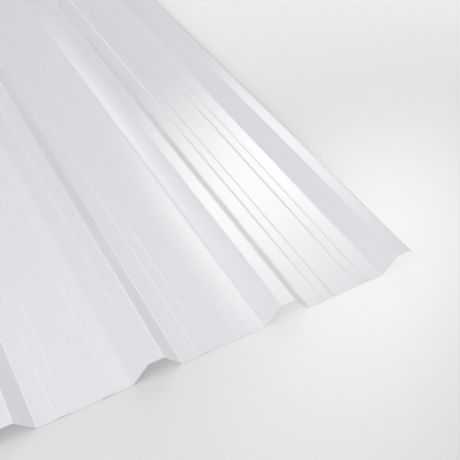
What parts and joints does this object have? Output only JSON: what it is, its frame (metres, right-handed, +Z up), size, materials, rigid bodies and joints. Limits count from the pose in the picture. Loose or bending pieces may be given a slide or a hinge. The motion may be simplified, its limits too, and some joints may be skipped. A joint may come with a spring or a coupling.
{
  "type": "corrugated metal sheet",
  "caption": "Long coated-steel roofing and cladding sheet: flat-topped trapezoidal ribs, low flutes in the pans between them, and a short side lip that laps over the next sheet.",
  "frame": {"origin": "middle of the sheet's length and width, in the plane of the pans' undersides", "axes": "+Y along the ribs, +X across them towards the short overlap lip, +Z up out of the painted face"},
  "size_m": [0.813, 1.8, 0.0292],
  "materials": {
    "coated_steel": "smooth glossy cool-white paint on coated steel"
  },
  "bodies": {
    "root": {"roofing_sheet": "coated_steel"}
  },
  "joints": []
}
